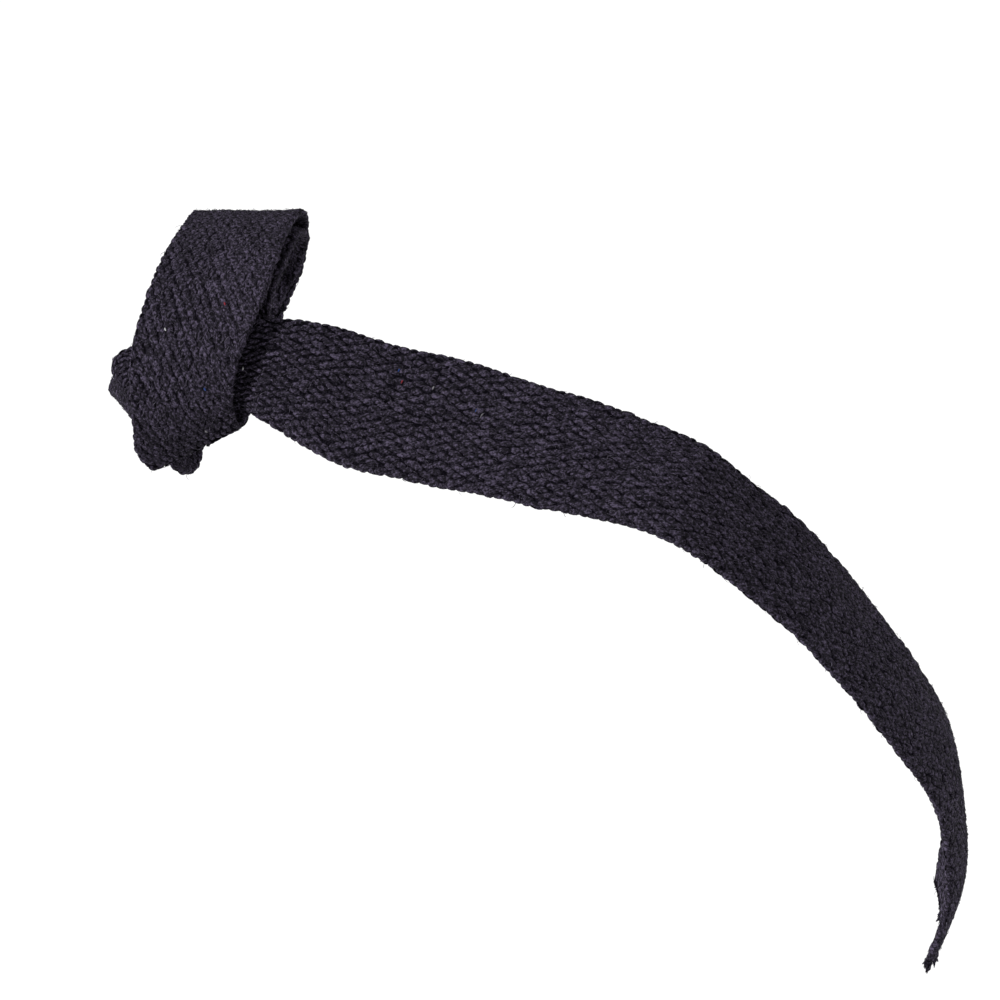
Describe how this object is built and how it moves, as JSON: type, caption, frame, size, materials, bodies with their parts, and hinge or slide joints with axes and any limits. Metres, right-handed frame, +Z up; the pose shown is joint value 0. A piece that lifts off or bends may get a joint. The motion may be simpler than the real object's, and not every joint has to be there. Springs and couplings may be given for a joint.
{
  "type": "lifting strap",
  "caption": "Wrist lifting strap of flat black cotton webbing, drawn up as a noose through its own sewn eye, with a long free tail that wraps round a bar.",
  "frame": {"origin": "middle of the hollow that the wrist goes through", "axes": "+X along the forearm to the fingers, +Y to the thumb side, +Z up"},
  "size_m": [0.2527, 0.1404, 0.2082],
  "materials": {
    "cotton_black": "matt plain weave"
  },
  "bodies": {
    "root": {"webbing": "cotton_black"}
  },
  "joints": []
}
